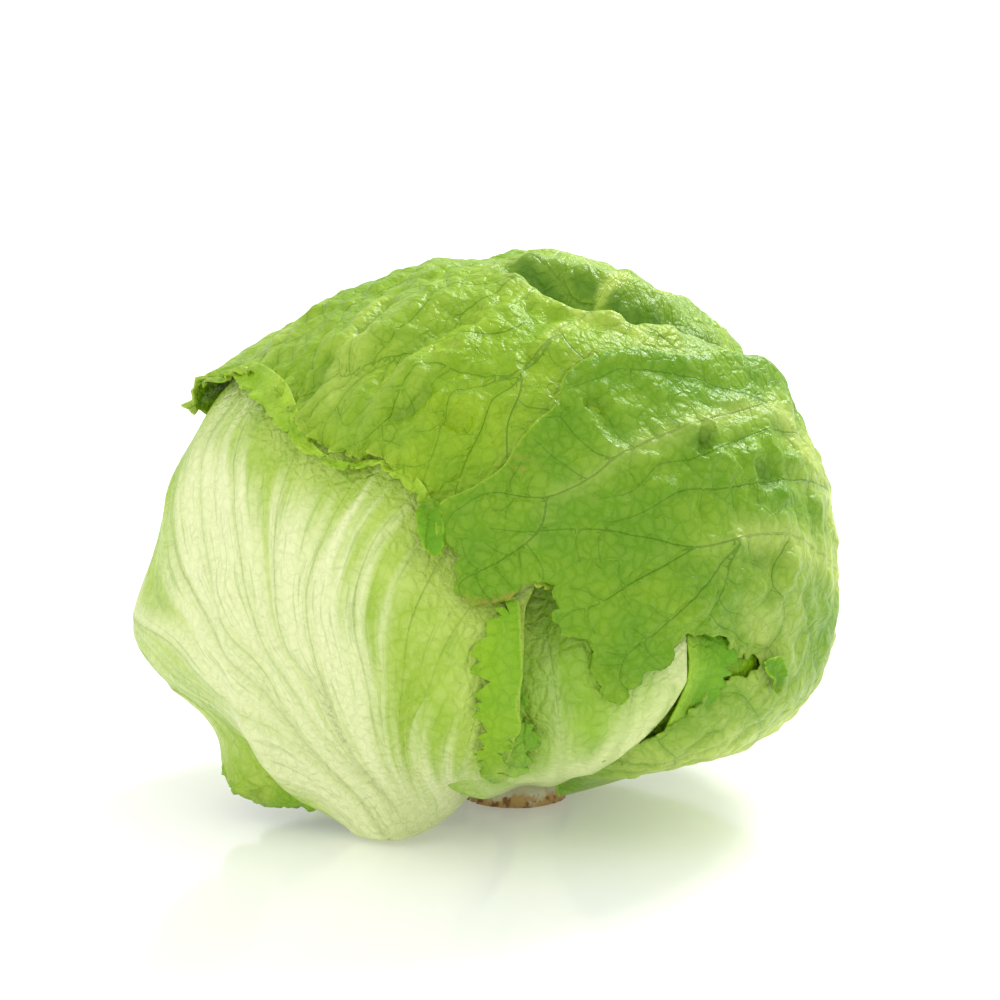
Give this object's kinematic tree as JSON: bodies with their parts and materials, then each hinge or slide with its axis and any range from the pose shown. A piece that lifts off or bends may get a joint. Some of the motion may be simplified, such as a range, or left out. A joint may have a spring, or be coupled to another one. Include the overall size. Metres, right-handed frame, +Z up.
{
  "type": "iceberg lettuce",
  "caption": "Closed iceberg lettuce head with toothed overlapping wrapper leaves round a dense heart, standing on its flat cut stem.",
  "frame": {"origin": "middle of the stem's flat cut face, which the head stands on", "axes": "+Z up through the crown, +X along the widest extent to the viewer's right, -Y towards the front with the toothed wrapper margins"},
  "size_m": [0.1804, 0.1594, 0.1416],
  "materials": {
    "green_leaf": "satin, veined, thin green leaf",
    "pale_leaf": "satin, ribbed, pale yellow-green leaf",
    "heart": "satin, tightly wrapped pale leaf",
    "stem": "matt, moist cut stem with a browned rim"
  },
  "bodies": {
    "root": {"stem": "stem", "leaf_front_right": "green_leaf", "leaf_crown": "green_leaf", "leaf_left": "pale_leaf", "leaf_back_left": "pale_leaf", "leaf_back_right": "green_leaf", "leaf_inner_left": "green_leaf", "leaf_front_low": "pale_leaf", "leaf_right_low": "pale_leaf", "leaf_left_low": "pale_leaf", "heart": "heart"}
  },
  "joints": []
}
